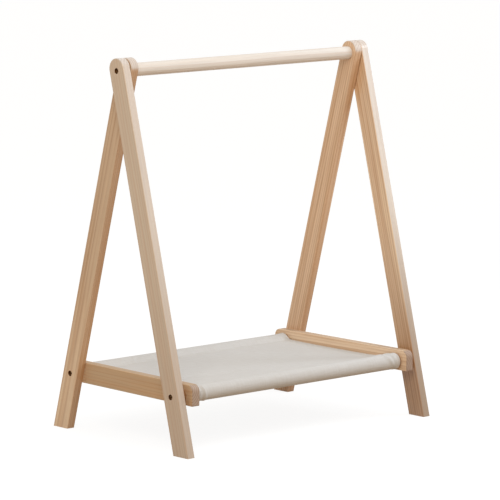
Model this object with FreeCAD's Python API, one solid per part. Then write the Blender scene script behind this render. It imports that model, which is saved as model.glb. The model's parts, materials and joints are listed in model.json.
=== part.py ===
import FreeCAD, Part
import math
import os

from FreeCAD import Vector

# Children's clothes rack: crossed pine legs, a round hanging rail and a canvas sling shelf.
# Millimetres. X runs along the hanging rail, the front is towards -Y, Z is up.
# The origin is on the floor, under the middle of the rack.

# Whole rack
OVERALL_WIDTH = 758.0        # between the outer faces of the two front legs
PIVOT_HEIGHT = 831.0         # axis of the hanging rail and of the bolts through the leg tops
FOOT_SPREAD = 433.0          # between the middle lines of a front and a rear leg on the floor

# Legs
LEG_THICKNESS = 21.0
LEG_WIDTH = 47.0
LEG_TOP_RISE = 4.5           # from the pivot up to the centre of the round top, along the leg

# Side rails
RAIL_THICKNESS = 21.0
RAIL_HEIGHT = 47.0
RAIL_MID_HEIGHT = 131.5
RAIL_OVERHANG = 34.0         # how far each end runs past the bolt through it
RAIL_TOP_CORNER = 15.5       # radius of the two upper corners
RAIL_LOW_CORNER = 3.0        # radius of the two lower corners
RAIL_BOLT_DROP = 2.5         # how far the bolts and dowels sit below the middle of the rail
RAIL_TOE_OUT = 9.0           # how much further out the front end of each rail lies than its rear end
RAIL_SEAT_DEPTH = 0.3        # least depth of the flat seats bored in the rails for dowels and spacers
RAIL_HOUSING_GAP = 1.0       # between a rear leg and the shoulder of the rail's housing for it

# Round bars
HANGING_RAIL_DIAMETER = 30.0
SLING_DOWEL_DIAMETER = 33.0
SPACER_DIAMETER = 25.0

# Canvas sling
CLOTH_THICKNESS = 1.5
CLOTH_SIDE_GAP = 4.5         # bare dowel between the cloth and each side rail
CLOTH_SAG = 1.8              # at the middle, below the seams
SEAM_RISE = 5.0              # middle of the cloth at the seams, above the dowels' axes
SEAM_REACH = {"front": 47.0, "rear": 22.0}   # from the dowel's axis in to the seam of its sleeve

# Bolts, washers and inserts
BOLT_DIAMETER = 6.0
BOLT_HEAD_DIAMETER = 10.0
BOLT_HEAD_HEIGHT = 6.0
BOLT_HEAD_RECESS = 4.0       # how far the head lies below the face of the leg
BOLT_KEY_WIDTH = 5.0         # across the flats of the hexagon socket
BOLT_KEY_DEPTH = 3.0
WASHER_DIAMETER = 18.0
WASHER_THICKNESS = 1.6
INSERT_WALL = 1.4
INSERT_LENGTH = 15.0

# Eased edges
BOARD_EASE = 1.2
BAR_EASE = 1.0

# Clearances
HEAD_CLEARANCE = 1.25        # round a bolt's head in its counterbore
SHANK_CLEARANCE = 0.3        # round a shank in wood, spacers and washers
THREAD_CLEARANCE = 0.1       # round a shank in its insert, and round an insert in the wood
SLEEVE_CLEARANCE = 0.35      # round a dowel in its sleeve
SEAT_CLEARANCE = 0.3         # round a dowel or spacer in its seat in a rail
TIP_CLEARANCE = 0.3          # past the tip of a bolt

SIDES = {"left": -1, "right": 1}
ENDS = {"front": -1, "rear": 1}
ALONG_X = Vector(1, 0, 0)
FLAT = 0.01                  # an edge with less depth than this lies flat in a face

# Layers at each side, counted inwards from the outer face of the front leg
REAR_LEG_INSET = LEG_THICKNESS + WASHER_THICKNESS
RAIL_INSET = REAR_LEG_INSET + LEG_THICKNESS   # at the rear end of the rail
CLOTH_INSET = RAIL_INSET + RAIL_THICKNESS + CLOTH_SIDE_GAP
LEG_INSETS = {"front": 0.0, "rear": REAR_LEG_INSET}

# Places and sizes that follow from the values above
LEAN = math.atan2(FOOT_SPREAD / 2, PIVOT_HEIGHT)
DOWEL_HEIGHT = RAIL_MID_HEIGHT - RAIL_BOLT_DROP
DOWEL_REACH = (PIVOT_HEIGHT - DOWEL_HEIGHT) * math.tan(LEAN)
RAIL_REACH = DOWEL_REACH + RAIL_OVERHANG
RAIL_TOE = math.asin(RAIL_TOE_OUT / (2 * RAIL_REACH))
DOWEL_SEAT = SLING_DOWEL_DIAMETER + 2 * SEAT_CLEARANCE
SPACER_SEAT = SPACER_DIAMETER + 2 * SEAT_CLEARANCE
SHANK_HOLE = BOLT_DIAMETER + 2 * SHANK_CLEARANCE
COUNTERBORE = BOLT_HEAD_DIAMETER + 2 * HEAD_CLEARANCE
COUNTERBORE_DEPTH = BOLT_HEAD_HEIGHT + BOLT_HEAD_RECESS
INSERT_BORE = BOLT_DIAMETER + 2 * THREAD_CLEARANCE
INSERT_DIAMETER = INSERT_BORE + 2 * INSERT_WALL
INSERT_HOLE = INSERT_DIAMETER + 2 * THREAD_CLEARANCE


def at_inset(side, inset):
    """X of the plane that lies that far in from the outer face of one side's front leg."""
    return side * (OVERALL_WIDTH / 2 - inset)


def rail_inset(y):
    """Inset of a rail's outer face at a depth. The rails toe out towards the front."""
    return RAIL_INSET - (RAIL_REACH - y) * math.tan(RAIL_TOE)


def dowel_inset(y):
    """Inset of the flat seat that a dowel's end rests on, in the inner face of a rail."""
    return rail_inset(y - DOWEL_SEAT / 2) + RAIL_THICKNESS / math.cos(RAIL_TOE) - RAIL_SEAT_DEPTH


def spacer_inset(y):
    """Inset of the flat seat that a spacer's end rests on, in the outer face of a rail."""
    return rail_inset(y + SPACER_SEAT / 2) + RAIL_SEAT_DEPTH


def toed_out(side, piece):
    """The piece turned with one side's rail, about the rear end of the rail's outer face."""
    piece.rotate(Vector(at_inset(side, RAIL_INSET), RAIL_REACH, 0), Vector(0, 0, 1), side * math.degrees(RAIL_TOE))
    return piece


def outside(side, inset, rear_of):
    """Block of all that lies outwards of an inset at one side and to the rear of a depth."""
    low_x = min(at_inset(side, inset), at_inset(side, inset - OVERALL_WIDTH))
    return Part.makeBox(OVERALL_WIDTH, 4 * RAIL_REACH, PIVOT_HEIGHT, Vector(low_x, rear_of, 0))


def hole(side, inset, depth, diameter, y, z):
    """Round hole that starts at an inset and runs inwards along X."""
    mouth = Vector(at_inset(side, inset), y, z)
    return Part.makeCylinder(diameter / 2, depth, mouth, ALONG_X * -side)


def turned(side, inset, profile, y, z):
    """Piece turned about an axis along X, from the corners (distance inwards, radius) of half its section."""
    points = [Vector(at_inset(side, inset + inwards), y + radius, z) for inwards, radius in profile]
    section = Part.Face(Part.makePolygon(points + points[:1]))
    return section.revolve(Vector(0, y, z), ALONG_X, 360)


def tube(side, inset, length, diameter, bore, y, z):
    """Plain tube along X."""
    profile = [(0, bore / 2), (0, diameter / 2), (length, diameter / 2), (length, bore / 2)]
    return turned(side, inset, profile, y, z)


def board(outline, side, inset, thickness):
    """Board cut to an outline in the YZ plane, with its outer face at an inset."""
    face = Part.Face(Part.Wire(outline))
    face.translate(ALONG_X * at_inset(side, inset))
    return face.extrude(ALONG_X * (-side * thickness))


def rounded_outline(corners, radii):
    """Closed outline in the YZ plane through square corners, each rounded to its own radius."""
    arcs = []
    for index, corner in enumerate(corners):
        back = (corners[index - 1] - corner).normalize()
        ahead = (corners[(index + 1) % len(corners)] - corner).normalize()
        inwards = back + ahead
        centre = corner + inwards * radii[index]
        middle = centre - inwards.normalize() * radii[index]
        arcs.append(Part.Arc(corner + back * radii[index], middle, corner + ahead * radii[index]))
    edges = []
    for index, arc in enumerate(arcs):
        edges.append(arc.toShape())
        edges.append(Part.LineSegment(arc.EndPoint, arcs[(index + 1) % len(arcs)].StartPoint).toShape())
    return edges


def make_leg(side, end, inset, top_recess):
    """Leg that leans towards one end, with a round top and a foot cut level with the floor."""
    down = Vector(0, end * math.sin(LEAN), -math.cos(LEAN))
    across = Vector(0, math.cos(LEAN), end * math.sin(LEAN))
    half_width = LEG_WIDTH / 2
    cap = Vector(0, 0, PIVOT_HEIGHT) - down * LEG_TOP_RISE
    shoulders = [cap - across * half_width, cap + across * half_width]
    feet = [shoulder + down * (shoulder.z / math.cos(LEAN)) for shoulder in shoulders]
    outline = [
        Part.LineSegment(feet[0], shoulders[0]).toShape(),
        Part.Arc(shoulders[0], cap - down * half_width, shoulders[1]).toShape(),
        Part.LineSegment(shoulders[1], feet[1]).toShape(),
        Part.LineSegment(feet[1], feet[0]).toShape(),
    ]
    leg = board(outline, side, inset, LEG_THICKNESS)
    face_edges = [edge for edge in leg.Edges if edge.BoundBox.XLength < FLAT]
    long_edges = [edge for edge in face_edges if edge.BoundBox.ZLength > FLAT]
    leg = leg.makeChamfer(BOARD_EASE, long_edges)
    low = (end * DOWEL_REACH, DOWEL_HEIGHT)
    top = (0, PIVOT_HEIGHT)
    for place in (low, top):
        leg = leg.cut(hole(side, inset, LEG_THICKNESS, SHANK_HOLE, *place))
    for place in (low, top) if top_recess else (low,):
        leg = leg.cut(hole(side, inset, COUNTERBORE_DEPTH, COUNTERBORE, *place))
    return leg


def make_side_rail(side):
    """Rail along the floor side, clamped between the legs and the ends of the sling dowels. It is housed flat over
    the rear leg, and flat seats square its slanting faces to the dowels and to the spacer at the front leg."""
    low = RAIL_MID_HEIGHT - RAIL_HEIGHT / 2
    high = RAIL_MID_HEIGHT + RAIL_HEIGHT / 2
    corners = [
        Vector(0, -RAIL_REACH, low),
        Vector(0, RAIL_REACH, low),
        Vector(0, RAIL_REACH, high),
        Vector(0, -RAIL_REACH, high),
    ]
    radii = [RAIL_LOW_CORNER, RAIL_LOW_CORNER, RAIL_TOP_CORNER, RAIL_TOP_CORNER]
    rail = board(rounded_outline(corners, radii), side, RAIL_INSET, RAIL_THICKNESS)
    rail = rail.makeChamfer(BOARD_EASE, [edge for edge in rail.Edges if edge.BoundBox.XLength < FLAT])
    rail = toed_out(side, rail)
    leg_edge = (PIVOT_HEIGHT - high) * math.tan(LEAN) - LEG_WIDTH / 2 / math.cos(LEAN)
    rail = rail.cut(outside(side, RAIL_INSET, leg_edge - RAIL_HOUSING_GAP))
    for end in ENDS.values():
        y = end * DOWEL_REACH
        rail = rail.cut(hole(side, LEG_THICKNESS, DOWEL_REACH, SHANK_HOLE, y, DOWEL_HEIGHT))
        rail = rail.cut(hole(side, dowel_inset(y), DOWEL_REACH, DOWEL_SEAT, y, DOWEL_HEIGHT))
    front = ENDS["front"] * DOWEL_REACH
    spacer_depth = spacer_inset(front) - LEG_THICKNESS
    return rail.cut(hole(side, LEG_THICKNESS, spacer_depth, SPACER_SEAT, front, DOWEL_HEIGHT))


def make_crossbar(inset, diameter, y, z):
    """Round bar from one side to the other, bored at both ends for the inserts of the bolts that hold it."""
    length = OVERALL_WIDTH - 2 * inset
    radius = diameter / 2
    bore = INSERT_HOLE / 2
    depth = INSERT_LENGTH + TIP_CLEARANCE
    profile = [
        (depth, 0),
        (depth, bore),
        (0, bore),
        (0, radius - BAR_EASE),
        (BAR_EASE, radius),
        (length - BAR_EASE, radius),
        (length, radius - BAR_EASE),
        (length, bore),
        (length - depth, bore),
        (length - depth, 0),
    ]
    return turned(SIDES["left"], inset, profile, y, z)


def make_bolt(side, leg_inset, bar_inset, y, z):
    """Socket-head bolt: head down in a leg's counterbore, shank inwards to the end of the bar's insert."""
    inset = leg_inset + BOLT_HEAD_RECESS
    length = bar_inset + INSERT_LENGTH - inset
    head = BOLT_HEAD_DIAMETER / 2
    shank = BOLT_DIAMETER / 2
    profile = [
        (0, 0),
        (0, head),
        (BOLT_HEAD_HEIGHT, head),
        (BOLT_HEAD_HEIGHT, shank),
        (length, shank),
        (length, 0),
    ]
    corner_radius = BOLT_KEY_WIDTH / math.sqrt(3)
    angles = [math.radians(60 * step) for step in range(7)]
    hexagon = [Vector(0, y + corner_radius * math.cos(a), z + corner_radius * math.sin(a)) for a in angles]
    key = board(Part.makePolygon(hexagon).Edges, side, inset, BOLT_KEY_DEPTH)
    return turned(side, inset, profile, y, z).cut(key)


def sleeve_point(end, radius, angle):
    """Point round one dowel's axis. The angle counts up from the direction of the middle of the sling."""
    y = end * (DOWEL_REACH - radius * math.cos(angle))
    return Vector(0, y, DOWEL_HEIGHT + radius * math.sin(angle))


def sleeve_edges(end, radius, upper, lower, start, stop):
    """Line from a start to the top of a dowel, two arcs round its outer side, and a line on to a stop."""
    far = math.pi
    low = lower + 2 * math.pi
    edges = [Part.LineSegment(start, sleeve_point(end, radius, upper)).toShape()]
    for first, last in ((upper, far), (far, low)):
        angles = (first, (first + last) / 2, last)
        edges.append(Part.Arc(*[sleeve_point(end, radius, angle) for angle in angles]).toShape())
    edges.append(Part.LineSegment(sleeve_point(end, radius, low), stop).toShape())
    return edges


def make_canvas_sling():
    """Cloth slung between the dowels: a sheet that sags, with a sleeve sewn along its front and rear edges."""
    inner = SLING_DOWEL_DIAMETER / 2 + SLEEVE_CLEARANCE
    outer = inner + CLOTH_THICKNESS
    rises = [SEAM_RISE + CLOTH_THICKNESS / 2, SEAM_RISE - CLOTH_THICKNESS / 2]
    seams = {}
    sleeves = {}
    pockets = []
    for name, end in ENDS.items():
        reach = SEAM_REACH[name]
        lines = [math.atan2(rise, reach) for rise in rises]
        turns = [math.acos(outer / math.hypot(reach, rise)) for rise in rises]
        upper = lines[0] + turns[0]
        lower = lines[1] - turns[1]
        seams[name] = [Vector(0, end * (DOWEL_REACH - reach), DOWEL_HEIGHT + rise) for rise in rises]
        sleeves[name] = sleeve_edges(end, outer, upper, lower, *seams[name])
        apex = sleeve_point(end, inner / math.cos((upper - lower) / 2), (upper + lower) / 2)
        pockets.append(sleeve_edges(end, inner, upper, lower, apex, apex))
    faces = []
    for front, rear in zip(seams["front"], seams["rear"]):
        middle = (front + rear) * 0.5 - Vector(0, 0, CLOTH_SAG)
        faces.append(Part.Arc(front, middle, rear).toShape())
    outline = sleeves["front"] + [faces[1]] + sleeves["rear"][::-1] + [faces[0]]
    width = OVERALL_WIDTH - 2 * RAIL_INSET
    sling = board(outline, SIDES["left"], RAIL_INSET, width)
    for pocket in pockets:
        sling = sling.cut(board(pocket, SIDES["left"], RAIL_INSET, width))
    for side in SIDES.values():
        sling = sling.cut(toed_out(side, outside(side, CLOTH_INSET, -2 * RAIL_REACH)))
    return sling


pieces = {
    "hanging_rail": make_crossbar(RAIL_INSET, HANGING_RAIL_DIAMETER, 0, PIVOT_HEIGHT),
    "canvas_sling": make_canvas_sling(),
}

for end_name, end in ENDS.items():
    y = end * DOWEL_REACH
    pieces[f"sling_dowel_{end_name}"] = make_crossbar(dowel_inset(y), SLING_DOWEL_DIAMETER, y, DOWEL_HEIGHT)

for side_name, side in SIDES.items():
    top = (0, PIVOT_HEIGHT)
    pieces[f"side_rail_{side_name}"] = make_side_rail(side)
    pieces[f"top_bolt_{side_name}"] = make_bolt(side, LEG_INSETS["front"], RAIL_INSET, *top)
    pieces[f"hanging_rail_insert_{side_name}"] = tube(
        side, RAIL_INSET, INSERT_LENGTH, INSERT_DIAMETER, INSERT_BORE, *top)
    pieces[f"pivot_washer_{side_name}"] = tube(
        side, LEG_THICKNESS, WASHER_THICKNESS, WASHER_DIAMETER, SHANK_HOLE, *top)
    for end_name, end in ENDS.items():
        y = end * DOWEL_REACH
        leg_inset = LEG_INSETS[end_name]
        leg = make_leg(side, end, leg_inset, top_recess=end_name == "front")
        pieces[f"{end_name}_leg_{side_name}"] = leg
        pieces[f"{end_name}_bolt_{side_name}"] = make_bolt(side, leg_inset, dowel_inset(y), y, DOWEL_HEIGHT)
        pieces[f"{end_name}_dowel_insert_{side_name}"] = tube(
            side, dowel_inset(y), INSERT_LENGTH, INSERT_DIAMETER, INSERT_BORE, y, DOWEL_HEIGHT)
    y = ENDS["front"] * DOWEL_REACH
    spacer_length = spacer_inset(y) - LEG_THICKNESS
    pieces[f"front_spacer_{side_name}"] = tube(
        side, LEG_THICKNESS, spacer_length, SPACER_DIAMETER, SHANK_HOLE, y, DOWEL_HEIGHT)

os.makedirs("parts", exist_ok=True)
for name, piece in pieces.items():
    piece.exportStep(f"parts/{name}.step")
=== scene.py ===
import json
import math
import bpy
import bmesh
from mathutils import Euler, Matrix, Vector, noise


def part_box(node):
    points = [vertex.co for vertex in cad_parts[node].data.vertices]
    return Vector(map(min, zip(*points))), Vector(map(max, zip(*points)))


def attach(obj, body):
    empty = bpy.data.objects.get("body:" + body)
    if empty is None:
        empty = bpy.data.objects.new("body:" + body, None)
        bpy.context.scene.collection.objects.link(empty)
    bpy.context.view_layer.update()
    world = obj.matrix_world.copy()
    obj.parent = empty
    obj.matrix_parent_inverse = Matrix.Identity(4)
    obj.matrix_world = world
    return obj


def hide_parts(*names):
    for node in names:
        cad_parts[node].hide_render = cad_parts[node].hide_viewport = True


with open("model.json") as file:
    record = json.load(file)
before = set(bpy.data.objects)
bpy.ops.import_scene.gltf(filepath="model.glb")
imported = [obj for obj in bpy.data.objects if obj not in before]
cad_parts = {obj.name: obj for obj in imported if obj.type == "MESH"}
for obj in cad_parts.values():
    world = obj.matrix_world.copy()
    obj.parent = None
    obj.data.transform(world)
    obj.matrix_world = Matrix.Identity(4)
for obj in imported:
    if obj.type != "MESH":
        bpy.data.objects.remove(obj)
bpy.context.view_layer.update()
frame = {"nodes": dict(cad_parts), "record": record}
bpy.ops.object.select_all(action="DESELECT")

# Legs
# Four planed pine boards, each sawn from a different plank, with a round top and a foot cut level.
# One bolt pins each front leg to its rear leg at the top, and one more holds each leg to the side rail.
MM = 0.001
PINE_RING = "BF8C60"
PINE_WARM = "D6A87A"
# the tone of the painted shade that darkens some boards towards the foot and above
PINE_PAINTED_SHADE = "B9A48E"
PINE_END_RING = "8F7566"
WAVE_LENGTH = math.pi / 10   # of a Wave texture at a scale of 1
RING_WIDTH = 5.6 * MM
RING_WANDER = 5.0
RING_STRETCH = 0.07          # how fast the rings change along the grain, as a share of that across it
# Across one ring, from its pale early wood to its dark late edge: the place and how much of the dark shows
RING_PROFILE = [(0.0, 0.12), (0.35, 0.0), (0.62, 0.25), (0.86, 0.9), (0.95, 1.0), (1.0, 0.12)]
FIBRE_WIDTH = 2.4 * MM
FIBRE_STRETCH = 0.025
STREAK_WIDTH = 9.0 * MM
GRAIN_RELIEF = 0.15 * MM
BORE_REACH = 6.35 * MM       # from a bolt's axis to just past the wall of its counterbore
BORE_PAINTED_SHADE = "805A34"         # painted shade on the wall of a bored hole, which lies in shade


def linear(colour):
    """Linear RGBA of an sRGB hex colour."""
    channels = [int(colour[i:i + 2], 16) / 255 for i in (0, 2, 4)]
    return [c / 12.92 if c <= 0.04045 else ((c + 0.055) / 1.055) ** 2.4 for c in channels] + [1.0]


def add_node(tree, kind, inputs, **settings):
    """A new node with its settings, its socket values and its links."""
    node = tree.nodes.new(kind)
    for name, value in settings.items():
        setattr(node, name, value)
    for socket, value in inputs.items():
        if isinstance(value, bpy.types.NodeSocket):
            tree.links.new(value, node.inputs[socket])
        else:
            node.inputs[socket].default_value = value
    return node


def new_material(name):
    """A new material and its node tree, still empty."""
    material = bpy.data.materials.new(name)
    material.use_nodes = True
    material.node_tree.nodes.clear()
    return material, material.node_tree


def finish_node(node_name, material):
    """Gives a CAD node its material."""
    mesh = frame["nodes"][node_name].data
    mesh.materials.clear()
    mesh.materials.append(material)


def planed_pine(node_name, turn, pale, heart, warmth, gloss, end_grain, narrow_face_wood_and_light=None, foot_painted_shade=0.0,
                upper_painted_shade=0.0, bolts=()):
    """Clear-lacquered pine: pale wide rings with a darker edge, cut along the grain, so stripes run along
    the board and curved rings show on its ends. The grain runs along Z after the turn, and the heart of the
    tree is that far from the middle of the board, across it. The end grain has its own colour and strength
    of rings. A board's narrow faces may take another colour, by a share, partly their own wood and partly
    painted light. Painted shade may darken the board towards its low end or above, and painted shade
    darkens the holes of its bolts."""
    low, high = (Vector(corner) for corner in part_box(node_name))
    grain = turn.to_matrix() @ Vector((0, 0, 1))
    heart_point = (low + high) / 2 + turn.to_matrix() @ Vector((heart[0] * MM, heart[1] * MM, 0))
    material, tree = new_material(f"planed_pine_{node_name}")
    place = add_node(tree, "ShaderNodeTexCoord", {})
    plank = add_node(tree, "ShaderNodeMapping", {
        "Vector": place.outputs["Object"], "Location": heart_point, "Rotation": turn},
        vector_type="TEXTURE")
    long_grain = add_node(tree, "ShaderNodeMapping", {
        "Vector": plank.outputs[0], "Scale": (1, 1, RING_STRETCH)})
    rings = add_node(tree, "ShaderNodeTexWave", {
        "Vector": long_grain.outputs[0], "Scale": WAVE_LENGTH / RING_WIDTH, "Distortion": RING_WANDER,
        "Detail": 1.0, "Detail Scale": 0.35, "Detail Roughness": 0.4},
        wave_type="RINGS", rings_direction="Z", wave_profile="SAW")
    ring_edge = add_node(tree, "ShaderNodeValToRGB", {"Fac": rings.outputs["Fac"]})
    stops = ring_edge.color_ramp.elements
    for position, strength in RING_PROFILE[1:-1]:
        stops.new(position)
    for stop, (position, strength) in zip(stops, RING_PROFILE):
        stop.color = (strength, strength, strength, 1.0)
    fibres = add_node(tree, "ShaderNodeMapping", {
        "Vector": plank.outputs[0], "Scale": (1, 1, FIBRE_STRETCH)})
    fibre = add_node(tree, "ShaderNodeTexNoise", {
        "Vector": fibres.outputs[0], "Scale": 1 / FIBRE_WIDTH, "Detail": 3.0, "Roughness": 0.6})
    streak = add_node(tree, "ShaderNodeTexNoise", {
        "Vector": fibres.outputs[0], "Scale": 1 / STREAK_WIDTH, "Detail": 2.0, "Roughness": 0.5})
    streak_share = add_node(tree, "ShaderNodeMapRange", {
        "Value": streak.outputs["Fac"], "From Min": 0.35, "From Max": 0.72,
        "To Min": 0.0, "To Max": warmth}, interpolation_type="SMOOTHSTEP")
    ground = add_node(tree, "ShaderNodeMixRGB", {
        "Fac": streak_share.outputs[0], "Color1": linear(pale), "Color2": linear(PINE_WARM)})
    ring_share = add_node(tree, "ShaderNodeMath", {0: ring_edge.outputs["Color"], 1: 0.15 + 0.5 * warmth},
                          operation="MULTIPLY")
    ringed = add_node(tree, "ShaderNodeMixRGB", {
        "Fac": ring_share.outputs[0], "Color1": ground.outputs[0], "Color2": linear(PINE_RING)})
    wood = ringed
    # the narrow faces take another colour: partly their edge-grain wood, partly painted light
    if narrow_face_wood_and_light:
        edge_colour, edge_most = narrow_face_wood_and_light
        narrow = turn.to_matrix() @ Vector((0, 1, 0))
        sideways = add_node(tree, "ShaderNodeVectorMath", {
            0: place.outputs["Normal"], 1: narrow}, operation="DOT_PRODUCT")
        facing_side = add_node(tree, "ShaderNodeMath", {0: sideways.outputs["Value"]}, operation="ABSOLUTE")
        narrow_face_light_share = add_node(tree, "ShaderNodeMapRange", {
            "Value": facing_side.outputs[0], "From Min": 0.9, "From Max": 0.99,
            "To Min": 0.0, "To Max": edge_most}, interpolation_type="SMOOTHSTEP")
        wood = add_node(tree, "ShaderNodeMixRGB", {
            "Fac": narrow_face_light_share.outputs[0], "Color1": ringed.outputs[0], "Color2": linear(edge_colour)})
    # painted shade: the board is painted darker towards its low end or above, standing in for the fall of
    # the light
    along_board = add_node(tree, "ShaderNodeSeparateXYZ", {0: plank.outputs[0]})
    half_length = max(high - low) / 2
    painted_shade_share = add_node(tree, "ShaderNodeMapRange", {
        "Value": along_board.outputs["Z"], "From Min": -half_length, "From Max": 0.2 * half_length,
        "To Min": foot_painted_shade, "To Max": upper_painted_shade}, interpolation_type="SMOOTHSTEP")
    painted_shade_wood = add_node(tree, "ShaderNodeMixRGB", {
        "Fac": painted_shade_share.outputs[0], "Color1": wood.outputs[0], "Color2": linear(PINE_PAINTED_SHADE)},
        blend_type="MULTIPLY")
    fibre_shade = add_node(tree, "ShaderNodeMapRange", {
        "Value": fibre.outputs["Fac"], "From Min": 0.3, "From Max": 0.7, "To Min": 0.92, "To Max": 1.03})
    along = add_node(tree, "ShaderNodeMixRGB", {
        "Fac": 1.0, "Color1": painted_shade_wood.outputs[0], "Color2": fibre_shade.outputs[0]}, blend_type="MULTIPLY")
    end_colour, end_contrast = end_grain
    end_ring_share = add_node(tree, "ShaderNodeMath", {0: ring_edge.outputs["Color"], 1: end_contrast},
                              operation="MULTIPLY")
    across = add_node(tree, "ShaderNodeMixRGB", {
        "Fac": end_ring_share.outputs[0], "Color1": linear(end_colour), "Color2": linear(PINE_END_RING)})
    endways = add_node(tree, "ShaderNodeVectorMath", {
        0: place.outputs["Normal"], 1: grain}, operation="DOT_PRODUCT")
    facing_end = add_node(tree, "ShaderNodeMath", {0: endways.outputs["Value"]}, operation="ABSOLUTE")
    end_share = add_node(tree, "ShaderNodeMapRange", {
        "Value": facing_end.outputs[0], "From Min": 0.05, "From Max": 0.4, "To Min": 0.0, "To Max": 0.85},
        interpolation_type="SMOOTHSTEP")
    colour = add_node(tree, "ShaderNodeMixRGB", {
        "Fac": end_share.outputs[0], "Color1": along.outputs[0], "Color2": across.outputs[0]})
    # painted shade inside the counterbore of each bolt
    for bolt in bolts:
        bolt_low, bolt_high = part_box(bolt)
        axis = (0, (bolt_low[1] + bolt_high[1]) / 2, (bolt_low[2] + bolt_high[2]) / 2)
        beside_bolt = add_node(tree, "ShaderNodeMapping", {
            "Vector": place.outputs["Object"], "Scale": (0, 1, 1)})
        from_axis = add_node(tree, "ShaderNodeVectorMath", {
            0: beside_bolt.outputs[0], 1: axis}, operation="DISTANCE")
        bore_shade_mask = add_node(tree, "ShaderNodeMath", {0: from_axis.outputs["Value"], 1: BORE_REACH},
                           operation="LESS_THAN")
        colour = add_node(tree, "ShaderNodeMixRGB", {
            "Fac": bore_shade_mask.outputs[0], "Color1": colour.outputs[0], "Color2": linear(BORE_PAINTED_SHADE)},
            blend_type="MULTIPLY")
    roughness = add_node(tree, "ShaderNodeMapRange", {
        "Value": fibre.outputs["Fac"], "From Min": 0.3, "From Max": 0.7, "To Min": 0.56 - 0.24 * gloss,
        "To Max": 0.66 - 0.22 * gloss})
    relief = add_node(tree, "ShaderNodeMath", {
        0: ring_edge.outputs["Color"], 1: 0.5, 2: fibre.outputs["Fac"]}, operation="MULTIPLY_ADD")
    bump = add_node(tree, "ShaderNodeBump", {
        "Strength": 0.25, "Distance": GRAIN_RELIEF, "Height": relief.outputs[0]})
    shader = add_node(tree, "ShaderNodeBsdfPrincipled", {
        "Base Color": colour.outputs[0], "Roughness": roughness.outputs[0], "Normal": bump.outputs[0],
        "IOR": 1.5, "Specular IOR Level": 0.3 + 0.2 * gloss,
        "Coat Weight": 0.7 * gloss, "Coat Roughness": 0.25})
    add_node(tree, "ShaderNodeOutputMaterial", {"Surface": shader.outputs[0]})
    finish_node(node_name, material)


foot_reach = max(mount["pos_m"][1] for mount in frame["record"]["mounts"])
pivot_height = sum(corner[2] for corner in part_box("hanging_rail")) / 2
lean = math.atan2(foot_reach, pivot_height)
LEG_END = ("DFD4CA", 0.3)
# painted shade: the rear legs' narrow faces turn down and away from the lamps, so they are painted darker
# and warmer
WARM_PAINTED_SHADE_FACE = "C8935F"
# Each plank's pale wood, the place of its heart in millimetres across the board, how warm its streaks are,
# its gloss, its end grain, the colour of its narrow faces (partly wood, partly painted light), and how much
# painted shade darkens it at the foot and above
LEG_BOARDS = {
    # the front legs' narrow faces are painted greyer and less warm than their wide faces, a painted sheen
    # of the lamps
    "front_leg_left": ("DECBB2", (-46, 38), 0.25, 1.0, LEG_END, ("DCCFC2", 0.6), 0.3),
    "front_leg_right": ("FBDDB8", (-30, -42), 0.75, 1.0, LEG_END, ("DCD4C9", 0.72), 0.85),
    "rear_leg_left": ("FCE3C3", (-52, -20), 0.60, 0.4, LEG_END, (WARM_PAINTED_SHADE_FACE, 0.5), 0.0, 0.4),
    "rear_leg_right": ("FBDBBA", (-34, 34), 0.70, 0.4, LEG_END, (WARM_PAINTED_SHADE_FACE, 0.34), 0.4),
}
for leg, plank in LEG_BOARDS.items():
    end, side = leg.split("_leg_")
    turn = Euler((-lean if end == "front" else lean, 0, 0))
    planed_pine(leg, turn, *plank, bolts=(f"top_bolt_{side}", f"{end}_bolt_{side}"))

# Side rails
# Two short pine boards that tie each front leg to its rear leg near the floor, further apart at the front.
# Their upper corners are rounded, and the same bolts pass through them into the sling's dowels.
# painted shade: the rails' top and bottom faces are painted darker and greyer than their sides
RAIL_PAINTED_SHADE_FACE = ("A98F74", 0.5)
dowel_middle = {}
dowel_half = {}
for end in ("front", "rear"):
    dowel_low, dowel_high = (Vector(corner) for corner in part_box(f"sling_dowel_{end}"))
    dowel_middle[end] = (dowel_low + dowel_high) / 2
    dowel_half[end] = dowel_high.x
toe_out = (dowel_half["front"] - dowel_half["rear"]) / (dowel_middle["rear"].y - dowel_middle["front"].y)
# The side that each rail is on, and its plank, as for the legs
RAIL_BOARDS = {
    "side_rail_left": (-1, "DAC09F", (-40, -26), 0.4, 0.0, ("BBA79A", 0.8), RAIL_PAINTED_SHADE_FACE),
    "side_rail_right": (1, "FDE2C4", (-44, 30), 0.4, 0.0, ("A89184", 0.9), RAIL_PAINTED_SHADE_FACE),
}
for rail, (side, *plank) in RAIL_BOARDS.items():
    planed_pine(rail, Euler((-math.pi / 2, 0, side * math.atan(toe_out))), *plank)

# Hanging rail, sling dowels and spacers
# Round pine bars turned from straight-grained stock, each with a threaded insert in its ends.
# The spacers are short turned sleeves that keep the front legs clear of the side rails.
BAR_END = ("C2A48E", 0.6)
BAR_STOCK = {
    "hanging_rail": ("F2EBE2", (38, 30), 0.12, 0.1, BAR_END),
    # the dowels are painted darker than the bar: painted shade for the narrow gaps beside the sleeve ends
    # where they show
    "sling_dowel_front": ("AC8760", (-40, 36), 0.4, 0.2, BAR_END),
    "sling_dowel_rear": ("AC8760", (44, -28), 0.4, 0.2, BAR_END),
    # the spacers are painted dark brown: painted shade for the gap between each front leg and its rail
    "front_spacer_left": ("A0744C", (36, 30), 0.5, 0.2, BAR_END),
    "front_spacer_right": ("A0744C", (-30, 40), 0.5, 0.2, BAR_END),
}
for bar, stock in BAR_STOCK.items():
    planed_pine(bar, Euler((0, math.pi / 2, 0)), *stock)

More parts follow.
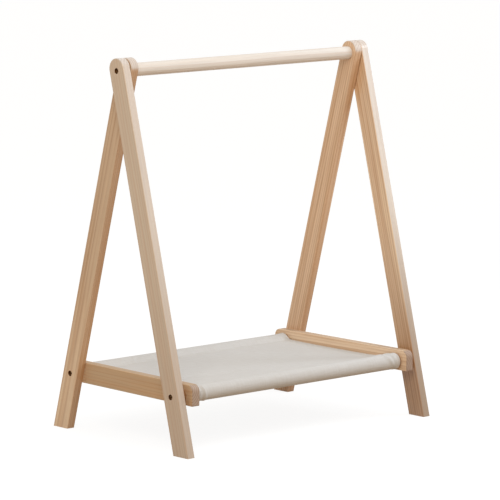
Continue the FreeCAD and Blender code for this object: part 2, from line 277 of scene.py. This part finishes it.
# Bolts and washers
# Socket-head machine bolts and flat washers of steel with a bronze plate, turned and tumbled.
# The plate gives a soft brown sheen with faint turning marks and small paler rubs.
SIDES = ("left", "right")
BRONZE_PLATE = "74522F"
BRONZE_RUBBED = "AC865A"
RUBBED_ROUGHNESS = 0.28
TUMBLE_MARK = 1.6 * MM
TUMBLE_DEPTH = 0.05 * MM


def metal(name, ground, rubbed, roughest):
    """A plated or turned metal whose coat is rubbed paler in small patches."""
    material, tree = new_material(name)
    place = add_node(tree, "ShaderNodeTexCoord", {})
    marks = add_node(tree, "ShaderNodeTexNoise", {
        "Vector": place.outputs["Object"], "Scale": 1 / TUMBLE_MARK, "Detail": 3.0})
    share = add_node(tree, "ShaderNodeMapRange", {
        "Value": marks.outputs["Fac"], "From Min": 0.4, "From Max": 0.7, "To Min": 0.0, "To Max": 1.0})
    colour = add_node(tree, "ShaderNodeMixRGB", {
        "Fac": share.outputs[0], "Color1": linear(ground), "Color2": linear(rubbed)})
    roughness = add_node(tree, "ShaderNodeMapRange", {
        "Value": marks.outputs["Fac"], "From Min": 0.3, "From Max": 0.7,
        "To Min": roughest, "To Max": RUBBED_ROUGHNESS})
    bump = add_node(tree, "ShaderNodeBump", {
        "Strength": 0.2, "Distance": TUMBLE_DEPTH, "Height": marks.outputs["Fac"]})
    shader = add_node(tree, "ShaderNodeBsdfPrincipled", {
        "Base Color": colour.outputs[0], "Metallic": 1.0, "Roughness": roughness.outputs[0],
        "Normal": bump.outputs[0]})
    add_node(tree, "ShaderNodeOutputMaterial", {"Surface": shader.outputs[0]})
    return material


bronzed_steel = metal("bronze_plated_steel", BRONZE_PLATE, BRONZE_RUBBED, roughest=0.48)
for side in SIDES:
    for fixing in ("top_bolt", "front_bolt", "rear_bolt", "pivot_washer"):
        finish_node(f"{fixing}_{side}", bronzed_steel)

# Threaded inserts
# Turned brass sleeves driven into the ends of the round bars, for the bolts to screw into.
# Bare brass is warm yellow and duller where it was cut.
BRASS_CUT = "B08A4A"
BRASS_BRIGHT = "CFAE6E"
turned_brass = metal("turned_brass", BRASS_CUT, BRASS_BRIGHT, roughest=0.42)
for side in SIDES:
    for bar in ("hanging_rail", "front_dowel", "rear_dowel"):
        finish_node(f"{bar}_insert_{side}", turned_brass)

# Canvas sling
# One length of undyed cotton canvas, hemmed along its sides and turned round a dowel at each end.
# Each turned edge lies under the cloth and is sewn through both layers, which makes the two sleeves.
CLOTH_THICKNESS = 1.0 * MM
SEAM_REACH = {"front": 47.0 * MM, "rear": 22.0 * MM}
SEAM_RISE = 5.0 * MM
SEAM_LAP = 12.0 * MM
LAP_DROP = 1.8 * MM
SIDE_HEM = 12.0 * MM
SAG = 1.8 * MM
SOLID_WALL = 1.5 * MM       # of the sling's CAD solid, whose middle layer the cloth follows
SLEEVE_EASE = 0.1 * MM      # how far outside that layer the sleeves lie, to clear the dowels
ARC_STEPS = 60
SHEET_STEPS = 40
PATH_STEP = 1.0 * MM
FINE_STEP = 2.2 * MM        # rows round the sleeves and columns near the hems, where the cloth creases
WIDE_ROW = 6.0 * MM
WIDE_COLUMN = 4.2 * MM
FINE_BAND = 44.0 * MM
SMOOTHING_PASSES = 12
canvas_low, canvas_high = (Vector(corner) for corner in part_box("canvas_sling"))
sleeve_radius = dowel_middle["front"].y - canvas_low.y - SOLID_WALL / 2 + SLEEVE_EASE


def sleeve_turn(end):
    """Points of one sleeve from the cut edge under the cloth, round the dowel, to the seam on top, as the
    distance inwards from the dowel's axis and the height above it."""
    reach = SEAM_REACH[end]
    low_rise = SEAM_RISE - LAP_DROP
    low_angle = math.atan2(low_rise, reach) - math.acos(sleeve_radius / math.hypot(reach, low_rise))
    top_angle = math.atan2(SEAM_RISE, reach) + math.acos(sleeve_radius / math.hypot(reach, SEAM_RISE))
    sweep = low_angle - top_angle + 2 * math.pi
    arc = []
    for i in range(ARC_STEPS + 1):
        angle = low_angle - sweep * i / ARC_STEPS
        arc.append((sleeve_radius * math.cos(angle), sleeve_radius * math.sin(angle)))
    return [(reach + SEAM_LAP, low_rise), (reach, low_rise)] + arc + [(reach, SEAM_RISE)]


def evenly_spaced(points, step):
    """The same path with points one step apart."""
    lengths = [0.0]
    for before, after in zip(points, points[1:]):
        lengths.append(lengths[-1] + math.dist(before, after))
    count = round(lengths[-1] / step)
    spaced = []
    at = 0
    for i in range(count + 1):
        want = lengths[-1] * i / count
        while at < len(points) - 2 and lengths[at + 1] < want:
            at += 1
        share = (want - lengths[at]) / (lengths[at + 1] - lengths[at])
        (y0, z0), (y1, z1) = points[at], points[at + 1]
        spaced.append((y0 + share * (y1 - y0), z0 + share * (z1 - z0)))
    return spaced


front, rear = dowel_middle["front"], dowel_middle["rear"]
section = [(front.y + inwards, front.z + rise) for inwards, rise in sleeve_turn("front")]
front_seam_y, rear_seam_y = section[-1][0], rear.y - SEAM_REACH["rear"]
for i in range(1, SHEET_STEPS):
    share = i / SHEET_STEPS
    section.append((front_seam_y + share * (rear_seam_y - front_seam_y),
                    front.z + SEAM_RISE - SAG * 4 * share * (1 - share)))
section += [(rear.y - inwards, rear.z + rise) for inwards, rise in reversed(sleeve_turn("rear"))]
section = evenly_spaced(section, PATH_STEP)
for smoothing_pass in range(SMOOTHING_PASSES):
    section = section[:1] + [
        tuple(0.25 * a + 0.5 * b + 0.25 * c for a, b, c in zip(before, here, after))
        for before, here, after in zip(section, section[1:], section[2:])] + section[-1:]
section = evenly_spaced(section, PATH_STEP)
cloth_length = PATH_STEP * (len(section) - 1)
depths = [y for y, z in section]
upper_layer = range(depths.index(min(depths)), depths.index(max(depths)) + 1)
front_seam = min(upper_layer, key=lambda i: abs(depths[i] - front_seam_y)) * PATH_STEP
rear_seam = min(upper_layer, key=lambda i: abs(depths[i] - rear_seam_y)) * PATH_STEP
SLACK_REACH = 30.0 * MM     # the cloth lies slack beyond this distance from its seams
SLACK_LIFT = 0.9 * MM
SLACK_WAVES = 9             # for each metre
PUCKER_REACH = 9.0 * MM     # the seams pucker the cloth about this far to each side
PUCKER_LIFT = 0.35 * MM
PUCKER_WAVES = 60           # for each metre
# Creases of the cloth in millimetres: where each starts and ends, as x and the distance from the front seam
# towards the back, its height and its width. The front roll's top is about 48 before that seam.
CREASES = [
    ((-340, 122), (-40, 68), -4.0, 17),
    ((-222, 294), (-204, 320), 1.8, 4.0),
    ((-188, 294), (-166, 322), 1.8, 4.0),
    ((250, -20), (306, -92), 2.8, 4.5),
    ((286, -24), (314, -96), 3.2, 4.5),
    ((-314, -6), (-284, -106), 4.5, 4.0),
    ((-318, -24), (-302, -112), 3.2, 2.6),
]
creases = []
for (start_x, start_along), (end_x, end_along), height, width in CREASES:
    start = Vector((start_x * MM, front_seam + start_along * MM))
    reach = Vector((end_x * MM, front_seam + end_along * MM)) - start
    creases.append((start, reach, height * MM, width * MM))


def ripple(x, along):
    """How far the cloth stands out from its smooth form at a point."""
    on_sheet = min(along - front_seam, rear_seam - along)
    slack = min(max(on_sheet / SLACK_REACH, 0.0), 1.0)
    lift = slack * SLACK_LIFT * noise.noise(Vector((x * SLACK_WAVES, along * SLACK_WAVES, 0.3)))
    for seam, seed in ((front_seam, 2.7), (rear_seam, 8.1)):
        near = math.exp(-((along - seam) / PUCKER_REACH) ** 2)
        lift += near * PUCKER_LIFT * noise.noise(Vector((x * PUCKER_WAVES, 0.0, seed)))
    for start, reach, height, width in creases:
        offset = Vector((x, along)) - start
        share = offset.dot(reach) / reach.length_squared
        if 0 < share < 1:
            beside = (offset - reach * share).length / width
            lift += height * math.sin(math.pi * share) * math.exp(-beside * beside)
    return lift


def cloth_point(x, along, lift):
    """A point of the cloth, lifted off its middle layer along the outward normal."""
    index = min(max(along / PATH_STEP, 0.0), len(section) - 1.001)
    low = int(index)
    share = index - low
    (y0, z0), (y1, z1) = section[low], section[low + 1]
    ahead = Vector((y1 - y0, z1 - z0)).normalized()
    out = lift + ripple(x, along)
    return Vector((x, y0 + share * (y1 - y0) - ahead.y * out, z0 + share * (z1 - z0) + ahead.x * out))


# From the hem's cut edge under the cloth, out to its fold, and back onto the upper layer: the distance in
# from the fold, and the lift off the middle layer in millimetres
HEM_PROFILE = [
    (SIDE_HEM, -0.35), (0.5 * SIDE_HEM, -0.35), (1.0 * MM, -0.35), (0.3 * MM, 0.0), (0.0, 0.5),
    (0.4 * MM, 1.0), (1.6 * MM, 1.3), (3.2 * MM, 1.1), (0.5 * SIDE_HEM, 0.8), (0.8 * SIDE_HEM, 0.7),
    (SIDE_HEM, 0.65), (1.1 * SIDE_HEM, 0.2), (1.4 * SIDE_HEM, 0.0),
]
HEM_BLEND = 1.6 * SIDE_HEM


def steps_between(start, end, step):
    """Evenly spaced values from a start to an end, about one step apart."""
    count = max(round(abs(end - start) / step), 1)
    return [start + (end - start) * i / count for i in range(count + 1)]


near_hem = steps_between(HEM_BLEND, HEM_BLEND + FINE_BAND, FINE_STEP)
middle_shares = steps_between(-1.0, 1.0, WIDE_COLUMN / (canvas_high.x - near_hem[-1]))[1:-1]


def cloth_edge(along):
    """Half the width of the cloth, which runs level with the rails and so is wider at the front."""
    y = section[min(round(along / PATH_STEP), len(section) - 1)][0]
    return canvas_high.x - CLOTH_THICKNESS / 2 - toe_out * (y - canvas_low.y)


def cloth_columns(edge):
    """Places across the cloth from its left hem to its right, each with its lift off the middle layer."""
    left = [(inset - edge, lift * MM) for inset, lift in HEM_PROFILE]
    left += [(inset - edge, 0.0) for inset in near_hem]
    middle = [(share * (edge - near_hem[-1]), 0.0) for share in middle_shares]
    return left + middle + [(-x, lift) for x, lift in reversed(left)]


sheet_start, sheet_end = front_seam + SEAM_LAP, rear_seam - SEAM_LAP
row_places = steps_between(0.0, sheet_start, FINE_STEP)
row_places += steps_between(sheet_start, sheet_end, WIDE_ROW)[1:-1]
row_places += steps_between(sheet_end, cloth_length, FINE_STEP)
bm = bmesh.new()
weave_map = bm.loops.layers.uv.new("weave")
grid = []
weave_places = []
for along in row_places:
    columns = cloth_columns(cloth_edge(along))
    grid.append([bm.verts.new(cloth_point(x, along, lift)) for x, lift in columns])
    unfolded = [0.0]
    for (x0, lift0), (x1, lift1) in zip(columns, columns[1:]):
        unfolded.append(unfolded[-1] + math.hypot(x1 - x0, lift1 - lift0))
    weave_places.append([(place - unfolded[-1] / 2, along) for place in unfolded])
for row in range(len(row_places) - 1):
    for column in range(len(columns) - 1):
        corners = ((row, column), (row, column + 1), (row + 1, column + 1), (row + 1, column))
        face = bm.faces.new([grid[r][c] for r, c in corners])
        face.smooth = True
        for loop, (r, c) in zip(face.loops, corners):
            loop[weave_map].uv = weave_places[r][c]
cloth_mesh = bpy.data.meshes.new("canvas_cloth")
bm.to_mesh(cloth_mesh)
bm.free()
canvas_cloth = bpy.data.objects.new("canvas_cloth", cloth_mesh)
bpy.context.collection.objects.link(canvas_cloth)
bpy.context.view_layer.objects.active = canvas_cloth
canvas_cloth.select_set(True)
thickness = canvas_cloth.modifiers.new("cloth_thickness", "SOLIDIFY")
thickness.thickness = CLOTH_THICKNESS
thickness.offset = 0.0
bpy.ops.object.modifier_apply(modifier=thickness.name)
bpy.ops.object.select_all(action="DESELECT")

# Undyed cotton canvas is a plain weave of uneven spun yarn, dull and off-white, with fine flecks and slubs
CANVAS_YARN = "DCDBD9"
CANVAS_SHADE = "D5D3D0"
CANVAS_FLECK = "CAC4BC"
YARN_SPACING = 1.4 * MM     # real yarns lie about 0.7 mm apart, drawn coarser so that they show
WEAVE_DEPTH = 0.25 * MM
SLUB_LENGTH = 40.0 * MM
FLECK_WIDTH = 5.0 * MM
cotton_canvas, tree = new_material("cotton_canvas")
cloth_uv = add_node(tree, "ShaderNodeUVMap", {}, uv_map="weave")
slub_scales = {
    "X": (1 / SLUB_LENGTH, 0.5 / YARN_SPACING, 1.0),
    "Y": (0.5 / YARN_SPACING, 1 / SLUB_LENGTH, 1.0),
}
yarn_bands = []
slubs = []
for direction, slub_scale in slub_scales.items():
    bands = add_node(tree, "ShaderNodeTexWave", {
        "Vector": cloth_uv.outputs[0], "Scale": WAVE_LENGTH / YARN_SPACING, "Distortion": 0.6,
        "Detail Scale": 0.2}, wave_type="BANDS", bands_direction=direction)
    yarn_bands.append(bands.outputs["Fac"])
    spread = add_node(tree, "ShaderNodeMapping", {"Vector": cloth_uv.outputs[0], "Scale": slub_scale})
    thicker = add_node(tree, "ShaderNodeTexNoise", {
        "Vector": spread.outputs[0], "Scale": 1.0, "Detail": 2.0})
    slubs.append(thicker.outputs["Fac"])
weave = add_node(tree, "ShaderNodeMath", {0: yarn_bands[0], 1: yarn_bands[1]}, operation="MULTIPLY")
slub = add_node(tree, "ShaderNodeMath", {0: slubs[0], 1: slubs[1]}, operation="ADD")
slub_share = add_node(tree, "ShaderNodeMapRange", {
    "Value": slub.outputs[0], "From Min": 0.75, "From Max": 1.25, "To Min": 0.0, "To Max": 1.0})
yarn = add_node(tree, "ShaderNodeMixRGB", {
    "Fac": slub_share.outputs[0], "Color1": linear(CANVAS_SHADE), "Color2": linear(CANVAS_YARN)})
fleck = add_node(tree, "ShaderNodeTexNoise", {
    "Vector": cloth_uv.outputs[0], "Scale": 1 / FLECK_WIDTH, "Detail": 4.0})
fleck_share = add_node(tree, "ShaderNodeMapRange", {
    "Value": fleck.outputs["Fac"], "From Min": 0.62, "From Max": 0.75, "To Min": 0.0, "To Max": 0.5})
flecked = add_node(tree, "ShaderNodeMixRGB", {
    "Fac": fleck_share.outputs[0], "Color1": yarn.outputs[0], "Color2": linear(CANVAS_FLECK)})
weave_height = add_node(tree, "ShaderNodeMath", {
    0: slub.outputs[0], 1: 0.7, 2: weave.outputs[0]}, operation="MULTIPLY_ADD")
weave_bump = add_node(tree, "ShaderNodeBump", {
    "Strength": 0.35, "Distance": WEAVE_DEPTH, "Height": weave_height.outputs[0]})
cloth_shader = add_node(tree, "ShaderNodeBsdfPrincipled", {
    "Base Color": flecked.outputs[0], "Roughness": 0.9, "Normal": weave_bump.outputs[0],
    "Specular IOR Level": 0.2, "Sheen Weight": 0.15, "Sheen Roughness": 0.5})
add_node(tree, "ShaderNodeOutputMaterial", {"Surface": cloth_shader.outputs[0]})
cloth_mesh.materials.append(cotton_canvas)

# Seam stitches
# Lockstitch in spun cotton thread, in two rows through each sleeve's seam and one along each side hem.
# A seam's stitches show above and below the cloth, and each dips into the cloth at both ends.
STITCH_PITCH = 3.6 * MM
STITCH_LENGTH = 1.9 * MM
STITCH_TAIL = 0.6 * MM
STITCH_DIP = 0.45 * MM
STITCH_TAPER = 0.5
THREAD_RADIUS = 0.32 * MM
THREAD_LIFT = 0.1 * MM
SEAM_ROWS = (2.5 * MM, 9.0 * MM)
HEM_ROW = 0.78 * SIDE_HEM
HEM_LIFT = 0.7 * MM         # how far the upper layer stands off at that row
bpy.ops.mesh.primitive_cylinder_add(
    vertices=6, radius=THREAD_RADIUS, depth=STITCH_LENGTH, rotation=(0, math.pi / 2, 0))
one_stitch = bpy.context.object
bpy.ops.object.transform_apply(location=False, rotation=True, scale=False)
bpy.ops.object.mode_set(mode="EDIT")
bpy.ops.mesh.select_mode(type="FACE")
for direction in (-1, 1):
    bpy.ops.mesh.select_all(action="DESELECT")
    shape = bmesh.from_edit_mesh(one_stitch.data)
    for face in shape.faces:
        face.select_set(face.normal.x * direction > 0.9)
    bmesh.update_edit_mesh(one_stitch.data)
    bpy.ops.mesh.extrude_region_move(
        TRANSFORM_OT_translate={"value": (direction * STITCH_TAIL, 0, -STITCH_DIP)})
    bpy.ops.transform.resize(value=(1, STITCH_TAPER, STITCH_TAPER))
bpy.ops.object.mode_set(mode="OBJECT")
stitch_points = [vertex.co.copy() for vertex in one_stitch.data.vertices]
stitch_faces = [tuple(face.vertices) for face in one_stitch.data.polygons]
bpy.data.objects.remove(one_stitch)
thread_points = []
thread_faces = []


def stitch_row(points, lift):
    """Copies the stitch along points of the cloth, given as x and distance along it, on its outer side."""
    for (x0, along0), (x1, along1) in zip(points, points[1:]):
        start, end = cloth_point(x0, along0, lift), cloth_point(x1, along1, lift)
        thread = (end - start).normalized()
        if abs(x1 - x0) > abs(along1 - along0):
            beside = cloth_point(x0, along0 + PATH_STEP, lift) - start
        else:
            beside = cloth_point(x0 - PATH_STEP, along0, lift) - start
        out = thread.cross(beside).normalized()
        turn = Matrix((thread, out.cross(thread), out)).transposed()
        before = len(thread_points)
        thread_points.extend((start + end) / 2 + turn @ point for point in stitch_points)
        thread_faces.extend(tuple(before + corner for corner in face) for face in stitch_faces)


def row_points(start, end):
    """Places one stitch apart from one place to another."""
    count = round(math.dist(start, end) / STITCH_PITCH)
    return [tuple(a + (b - a) * i / count for a, b in zip(start, end)) for i in range(count + 1)]


on_cloth = CLOTH_THICKNESS / 2 + THREAD_LIFT
for row in SEAM_ROWS:
    for along in (front_seam + row, rear_seam - row, SEAM_LAP - row, cloth_length - SEAM_LAP + row):
        reach = cloth_edge(along) - HEM_ROW
        stitch_row(row_points((-reach, along), (reach, along)), on_cloth)
hem_places = [along for x, along in row_points((0, SEAM_LAP), (0, cloth_length - SEAM_LAP))]
for side in (-1, 1):
    hem_line = [(side * (cloth_edge(along) - HEM_ROW), along) for along in hem_places]
    stitch_row(hem_line, on_cloth + HEM_LIFT)
seam_stitches_mesh = bpy.data.meshes.new("seam_stitches")
seam_stitches_mesh.from_pydata(thread_points, [], thread_faces)
seam_stitches = bpy.data.objects.new("seam_stitches", seam_stitches_mesh)
bpy.context.collection.objects.link(seam_stitches)

# Spun cotton thread is matt and deeper between its twists, where painted shade darkens it
THREAD = "E2DFDA"
THREAD_PAINTED_SHADE = "D2CDC5"
TWIST_WIDTH = 0.8 * MM
TWIST_DEPTH = 0.1 * MM
cotton_thread, tree = new_material("cotton_thread")
thread_place = add_node(tree, "ShaderNodeTexCoord", {})
twist = add_node(tree, "ShaderNodeTexNoise", {
    "Vector": thread_place.outputs["Object"], "Scale": 1 / TWIST_WIDTH, "Detail": 2.0})
thread_colour = add_node(tree, "ShaderNodeMixRGB", {
    "Fac": twist.outputs["Fac"], "Color1": linear(THREAD_PAINTED_SHADE), "Color2": linear(THREAD)})
twist_bump = add_node(tree, "ShaderNodeBump", {
    "Strength": 0.4, "Distance": TWIST_DEPTH, "Height": twist.outputs["Fac"]})
thread_shader = add_node(tree, "ShaderNodeBsdfPrincipled", {
    "Base Color": thread_colour.outputs[0], "Roughness": 0.85, "Normal": twist_bump.outputs[0],
    "Specular IOR Level": 0.2})
add_node(tree, "ShaderNodeOutputMaterial", {"Surface": thread_shader.outputs[0]})
seam_stitches_mesh.materials.append(cotton_thread)
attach(seam_stitches, "sling")
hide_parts("canvas_sling")
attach(canvas_cloth, "sling")

# Studio
# A floor of matt white paper that runs out of view and keeps the soft shadow under the rack.
# Two cool soft lamps at the right, a wide one above, a warm one at the left and even fill light the rack.
FLOOR_WHITE = "F3F3F3"
FLOOR_LIT = "787878"        # what the lamps add to that white, and so how deep the shadow is
FLOOR_BOUNCE = "B8A187"     # the tone in which the floor lights the rack from below
FLOOR_SIZE = 80.0


def shown_share(tree):
    """One where the camera, a mirror or glass shows a surface, and zero where it only lights the rack."""
    path = add_node(tree, "ShaderNodeLightPath", {})
    seen_or_mirrored = add_node(tree, "ShaderNodeMath", {
        0: path.outputs["Is Camera Ray"], 1: path.outputs["Is Glossy Ray"]}, operation="MAXIMUM")
    shown = add_node(tree, "ShaderNodeMath", {
        0: seen_or_mirrored.outputs[0], 1: path.outputs["Is Transmission Ray"]}, operation="MAXIMUM")
    return shown.outputs[0]


bpy.ops.mesh.primitive_plane_add(size=FLOOR_SIZE, location=(0, 0, 0))
floor = bpy.context.object
floor.name = "studio_floor"
bpy.ops.object.select_all(action="DESELECT")
white_floor, tree = new_material("white_paper")
lit_paper = add_node(tree, "ShaderNodeBsdfDiffuse", {"Color": linear(FLOOR_LIT)})
white_paper = add_node(tree, "ShaderNodeEmission", {"Color": linear(FLOOR_WHITE), "Strength": 1.0})
seen_paper = add_node(tree, "ShaderNodeAddShader", {0: lit_paper.outputs[0], 1: white_paper.outputs[0]})
bounce_paper = add_node(tree, "ShaderNodeBsdfDiffuse", {"Color": linear(FLOOR_BOUNCE)})
paper = add_node(tree, "ShaderNodeMixShader", {
    0: shown_share(tree), 1: bounce_paper.outputs[0], 2: seen_paper.outputs[0]})
add_node(tree, "ShaderNodeOutputMaterial", {"Surface": paper.outputs[0]})
floor.data.materials.append(white_floor)

FILL_LEVEL = 0.565
WARM_FILL = "FFF8EE"
COOL_LAMP = "EAF3FF"
world = bpy.data.worlds.new("studio_fill")
bpy.context.scene.world = world
world.use_nodes = True
tree = world.node_tree
tree.nodes.clear()
fill = add_node(tree, "ShaderNodeBackground", {"Color": linear(WARM_FILL), "Strength": FILL_LEVEL})
white = add_node(tree, "ShaderNodeBackground", {"Color": (1, 1, 1, 1), "Strength": 1.0})
sky = add_node(tree, "ShaderNodeMixShader", {
    0: shown_share(tree), 1: fill.outputs[0], 2: white.outputs[0]})
add_node(tree, "ShaderNodeOutputWorld", {"Surface": sky.outputs[0]})

# Watts, for a lamp one metre away, that show a facing surface in the colour that is written for it
FULL_LIGHT = math.pi ** 2
LAMP_TARGET = Vector((0, 0, 0.45))
# Each lamp's bearing to the right of the front and its height above the floor in degrees, its distance,
# its width and height in metres, its share of full light and its colour
LAMPS = {
    "right_softbox": (50, 24, 2.1, 1.2, 1.0, 0.175, COOL_LAMP),
    "side_softbox": (68, 30, 2.8, 0.6, 0.6, 0.15, COOL_LAMP),
    "overhead_softbox": (20, 70, 3.0, 2.4, 2.4, 0.23, COOL_LAMP),
    "left_softbox": (-52, 34, 3.0, 1.2, 1.2, 0.24, WARM_FILL),
}
for name, (bearing, rise, distance, width, height, level, colour) in LAMPS.items():
    towards = Euler((0, 0, math.radians(bearing))).to_matrix() @ Vector((
        0, -math.cos(math.radians(rise)), math.sin(math.radians(rise))))
    lamp = bpy.data.lights.new(name, "AREA")
    lamp.shape = "RECTANGLE"
    lamp.size, lamp.size_y = width, height
    lamp.color = linear(colour)[:3]
    lamp.energy = FULL_LIGHT * distance ** 2 * level
    lamp_object = bpy.data.objects.new(name, lamp)
    lamp_object.location = LAMP_TARGET + towards * distance
    lamp_object.rotation_euler = towards.to_track_quat("Z", "Y").to_euler()
    bpy.context.collection.objects.link(lamp_object)

# Camera
# A long lens at adult height, in front of the rack and to its left.
# Its place and its angle of view were fitted to the feet, bolts, rails and leg tops.
CAMERA_EYE = Vector((-5.5817, -5.9768, 1.6027))
CAMERA_YAW = math.radians(43.183)
CAMERA_PITCH = math.radians(8.378)
CAMERA_ROLL = math.radians(0.478)
CAMERA_VIEW = math.radians(7.8991)
camera_data = bpy.data.cameras.new("studio_camera")
camera_data.sensor_width = 36
camera_data.angle = CAMERA_VIEW
camera_data.clip_end = 200
camera = bpy.data.objects.new("studio_camera", camera_data)
camera.matrix_world = (
    Matrix.Translation(CAMERA_EYE) @ Matrix.Rotation(-CAMERA_YAW, 4, "Z")
    @ Matrix.Rotation(math.pi / 2 - CAMERA_PITCH, 4, "X") @ Matrix.Rotation(CAMERA_ROLL, 4, "Z"))
bpy.context.collection.objects.link(camera)
bpy.context.scene.camera = camera
bpy.context.scene.view_settings.view_transform = "Standard"
